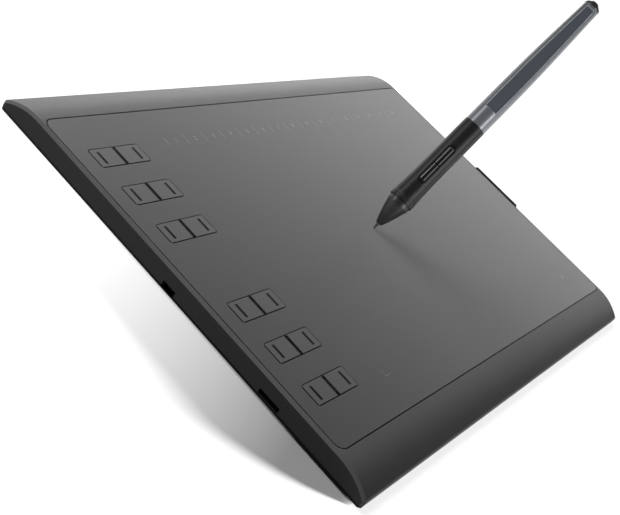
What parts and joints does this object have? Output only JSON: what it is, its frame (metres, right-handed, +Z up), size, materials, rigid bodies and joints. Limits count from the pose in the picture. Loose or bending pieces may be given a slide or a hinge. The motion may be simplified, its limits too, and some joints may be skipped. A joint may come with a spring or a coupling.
{
  "type": "graphics tablet",
  "caption": "Wired graphics tablet: slim case with a drawing sheet, a column of paired express keys, a side pen loop and a cordless pen with side buttons and a sprung nib.",
  "frame": {"origin": "on the desk under the middle of the tablet, at the face of its middle foot", "axes": "+X to the user's right along the long side, +Y away from the user, +Z up; the express keys are on the -X side"},
  "size_m": [0.3735, 0.24, 0.1645],
  "materials": {
    "case_top": "fine matt moulded plastic, dark grey",
    "case_bottom": "fine matt moulded plastic, near black",
    "sheet": "fine paper-like texture, mid grey",
    "key": "satin moulded plastic, grey",
    "plunger": "satin black plastic",
    "switch": "satin black plastic",
    "board": "green solder mask",
    "chip": "matt black moulding",
    "shield": "plain rolled sheet",
    "foam": "dark open foam",
    "socket": "tinned sheet",
    "ribbon": "flat flexible cable",
    "strap": "black woven elastic",
    "anchor": "satin black plastic",
    "foot": "matt rubber",
    "screw": "black zinc",
    "nib": "smooth plastic",
    "core": "ferrite",
    "cone": "satin dark plastic",
    "ring": "thin bright ring",
    "grip": "soft matt grip",
    "button": "satin black plastic",
    "coil": "enamelled copper wire",
    "barrel": "satin silver-grey lacquer",
    "panel": "slate blue lacquer",
    "cap": "dark satin plastic"
  },
  "bodies": {
    "tablet": {"top_cover": "case_top", "bottom_cover": "case_bottom", "drawing_sheet": "sheet", "sensor_board": "board", "shield_plate": "shield", "foam_strips": "foam", "control_board": "board", "control_chips": "chip", "switch_housings": "switch", "usb_socket": "socket", "card_socket": "socket", "ribbon_cable": "ribbon", "ribbon_sockets": "chip", "pen_loop": "strap", "loop_anchor": "anchor", "rubber_feet": "foot", "case_screws": "screw", "board_screws": "screw"},
    "key_01": {"express_key_01": "key", "switch_plunger_01": "plunger"},
    "key_02": {"express_key_02": "key", "switch_plunger_02": "plunger"},
    "key_03": {"express_key_03": "key", "switch_plunger_03": "plunger"},
    "key_04": {"express_key_04": "key", "switch_plunger_04": "plunger"},
    "key_05": {"express_key_05": "key", "switch_plunger_05": "plunger"},
    "key_06": {"express_key_06": "key", "switch_plunger_06": "plunger"},
    "key_07": {"express_key_07": "key", "switch_plunger_07": "plunger"},
    "key_08": {"express_key_08": "key", "switch_plunger_08": "plunger"},
    "key_09": {"express_key_09": "key", "switch_plunger_09": "plunger"},
    "key_10": {"express_key_10": "key", "switch_plunger_10": "plunger"},
    "key_11": {"express_key_11": "key", "switch_plunger_11": "plunger"},
    "key_12": {"express_key_12": "key", "switch_plunger_12": "plunger"},
    "pen": {"pen_cone": "cone", "cone_ring": "ring", "pen_grip": "grip", "pen_board": "board", "pen_switches": "switch", "antenna_coil": "coil", "pressure_sensor": "switch", "pen_carrier": "anchor", "pen_barrel": "barrel", "barrel_panel": "panel", "pen_end_cap": "cap"},
    "nib": {"pen_nib": "nib", "nib_core": "core"},
    "front_button": {"pen_button_front": "button"},
    "rear_button": {"pen_button_rear": "button"}
  },
  "joints": [
    {"name": "key_01_press", "type": "slide", "parent": "tablet", "child": "key_01", "axis": [0, 0, -1], "range_m": [0, 0.0005], "stiffness_N_per_m": 400, "springref_m": -0.0005},
    {"name": "key_02_press", "type": "slide", "parent": "tablet", "child": "key_02", "axis": [0, 0, -1], "range_m": [0, 0.0005], "stiffness_N_per_m": 400, "springref_m": -0.0005},
    {"name": "key_03_press", "type": "slide", "parent": "tablet", "child": "key_03", "axis": [0, 0, -1], "range_m": [0, 0.0005], "stiffness_N_per_m": 400, "springref_m": -0.0005},
    {"name": "key_04_press", "type": "slide", "parent": "tablet", "child": "key_04", "axis": [0, 0, -1], "range_m": [0, 0.0005], "stiffness_N_per_m": 400, "springref_m": -0.0005},
    {"name": "key_05_press", "type": "slide", "parent": "tablet", "child": "key_05", "axis": [0, 0, -1], "range_m": [0, 0.0005], "stiffness_N_per_m": 400, "springref_m": -0.0005},
    {"name": "key_06_press", "type": "slide", "parent": "tablet", "child": "key_06", "axis": [0, 0, -1], "range_m": [0, 0.0005], "stiffness_N_per_m": 400, "springref_m": -0.0005},
    {"name": "key_07_press", "type": "slide", "parent": "tablet", "child": "key_07", "axis": [0, 0, -1], "range_m": [0, 0.0005], "stiffness_N_per_m": 400, "springref_m": -0.0005},
    {"name": "key_08_press", "type": "slide", "parent": "tablet", "child": "key_08", "axis": [0, 0, -1], "range_m": [0, 0.0005], "stiffness_N_per_m": 400, "springref_m": -0.0005},
    {"name": "key_09_press", "type": "slide", "parent": "tablet", "child": "key_09", "axis": [0, 0, -1], "range_m": [0, 0.0005], "stiffness_N_per_m": 400, "springref_m": -0.0005},
    {"name": "key_10_press", "type": "slide", "parent": "tablet", "child": "key_10", "axis": [0, 0, -1], "range_m": [0, 0.0005], "stiffness_N_per_m": 400, "springref_m": -0.0005},
    {"name": "key_11_press", "type": "slide", "parent": "tablet", "child": "key_11", "axis": [0, 0, -1], "range_m": [0, 0.0005], "stiffness_N_per_m": 400, "springref_m": -0.0005},
    {"name": "key_12_press", "type": "slide", "parent": "tablet", "child": "key_12", "axis": [0, 0, -1], "range_m": [0, 0.0005], "stiffness_N_per_m": 400, "springref_m": -0.0005},
    {"name": "pen_lift", "type": "slide", "parent": "tablet", "child": "pen", "axis": [0, 0, 1], "range_m": [0, 0.1]},
    {"name": "nib_press", "type": "slide", "parent": "pen", "child": "nib", "axis": [0.4758, 0.0366, 0.8788], "range_m": [0, 0.0008], "stiffness_N_per_m": 1500, "springref_m": -0.0002},
    {"name": "front_button_press", "type": "slide", "parent": "pen", "child": "front_button", "axis": [0.8527, 0.226, -0.471], "range_m": [0, 0.0004], "stiffness_N_per_m": 800, "springref_m": -0.0004},
    {"name": "rear_button_press", "type": "slide", "parent": "pen", "child": "rear_button", "axis": [0.8527, 0.226, -0.471], "range_m": [0, 0.0004], "stiffness_N_per_m": 800, "springref_m": -0.0004}
  ]
}
